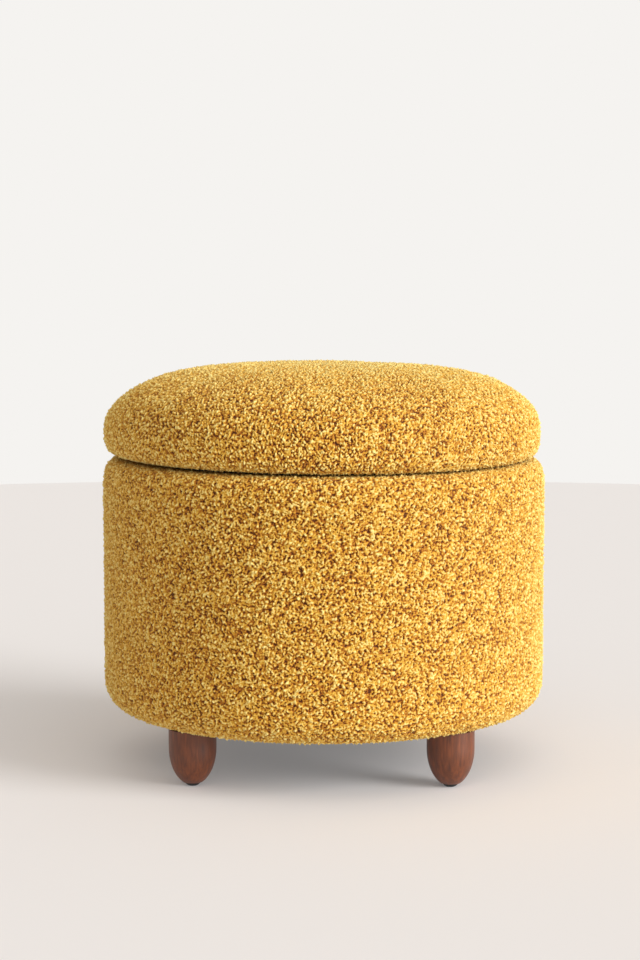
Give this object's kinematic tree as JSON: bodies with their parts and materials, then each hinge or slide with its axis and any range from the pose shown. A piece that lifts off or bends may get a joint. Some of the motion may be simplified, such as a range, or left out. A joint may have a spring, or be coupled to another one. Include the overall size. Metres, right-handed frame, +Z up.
{
  "type": "storage ottoman",
  "caption": "Round upholstered storage ottoman: a cloth-covered drum on four short egg-ended legs, with a domed padded lid that lifts off.",
  "frame": {"origin": "middle of the footprint, on the floor under the glides", "axes": "+Z up along the drum's axis of symmetry, the front looks along -Y, +X to the right seen from the front"},
  "size_m": [0.5, 0.5, 0.45],
  "materials": {
    "boucle_cloth": "looped boucle, matt, mustard yellow",
    "upholstery_foam": "open-cell foam",
    "fibre_batting": "loose polyester fibre",
    "plywood": "sanded, unfinished",
    "softwood": "planed, unfinished",
    "lining_cloth": "plain woven, matt, near black",
    "nonwoven_dust_cloth": "spun-bonded, matt black",
    "stained_turned_wood": "walnut-brown stain under satin lacquer",
    "glide_plastic": "moulded, black",
    "zinc_plated_steel": "zinc plated",
    "staple_wire": "galvanised wire"
  },
  "bodies": {
    "drum": {"body_cover": "boucle_cloth", "side_padding": "upholstery_foam", "rim_padding": "upholstery_foam", "drum_shell": "plywood", "top_ring": "plywood", "base_board": "plywood", "upright_1": "softwood", "upright_2": "softwood", "upright_3": "softwood", "upright_4": "softwood", "upright_5": "softwood", "upright_6": "softwood", "upright_7": "softwood", "upright_8": "softwood", "wall_lining": "lining_cloth", "floor_panel": "lining_cloth", "dust_cover": "nonwoven_dust_cloth", "leg_rear_right": "stained_turned_wood", "leg_rear_left": "stained_turned_wood", "leg_front_left": "stained_turned_wood", "leg_front_right": "stained_turned_wood", "glide_rear_right": "glide_plastic", "glide_rear_left": "glide_plastic", "glide_front_left": "glide_plastic", "glide_front_right": "glide_plastic", "leg_nut_rear_right": "zinc_plated_steel", "leg_nut_rear_left": "zinc_plated_steel", "leg_nut_front_left": "zinc_plated_steel", "leg_nut_front_right": "zinc_plated_steel", "leg_bolt_rear_right": "zinc_plated_steel", "leg_bolt_rear_left": "zinc_plated_steel", "leg_bolt_front_left": "zinc_plated_steel", "leg_bolt_front_right": "zinc_plated_steel", "base_screws": "zinc_plated_steel", "ring_screws": "zinc_plated_steel", "hem_staples": "staple_wire", "dust_cover_staples": "staple_wire", "rim_staples": "staple_wire"},
    "lid": {"lid_cover": "boucle_cloth", "lid_batting": "fibre_batting", "lid_foam": "upholstery_foam", "lid_board": "plywood", "lid_locating_disc": "plywood", "lid_lining": "lining_cloth", "lid_screws": "zinc_plated_steel", "lid_hem_staples": "staple_wire"}
  },
  "joints": [
    {"name": "lid_lift", "type": "slide", "parent": "drum", "child": "lid", "axis": [0, 0, 1], "range_m": [0, 0.3]}
  ]
}
